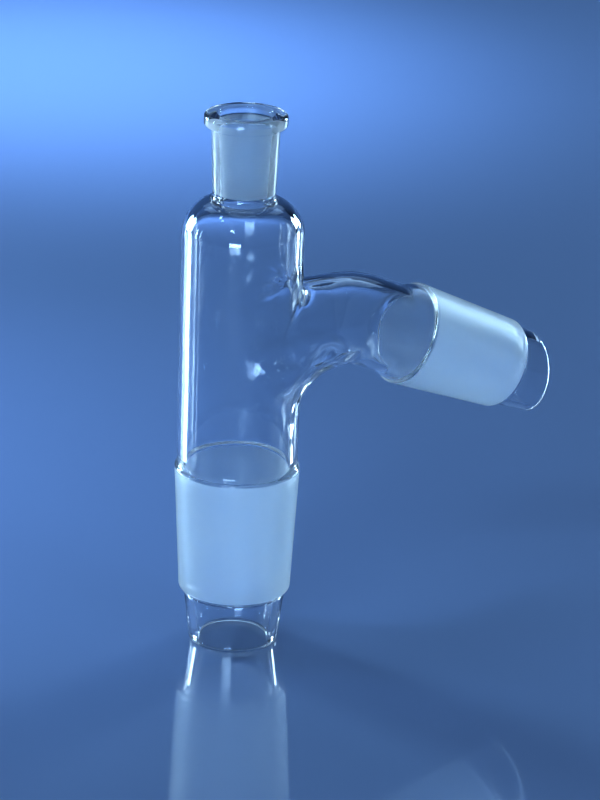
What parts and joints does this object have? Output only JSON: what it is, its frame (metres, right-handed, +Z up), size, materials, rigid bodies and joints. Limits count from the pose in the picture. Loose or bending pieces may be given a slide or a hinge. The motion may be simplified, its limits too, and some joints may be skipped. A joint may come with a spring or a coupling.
{
  "type": "distillation head",
  "caption": "Glass distillation head with a flanged thermometer socket on top, a ground cone and drip tip below, and a bent side arm that ends in a ground cone and clear tip.",
  "frame": {"origin": "centre of the lower ground cone's big end, on the vapour tube's axis, where the head seats in a flask", "axes": "+Z up the vapour tube towards the thermometer socket; +X is the side the arm leaves on, and the arm lies in the XZ plane"},
  "size_m": [0.113, 0.0344, 0.152],
  "materials": {
    "glass": "clear, with finely ground joint surfaces"
  },
  "bodies": {
    "root": {"still_head": "glass"}
  },
  "joints": []
}
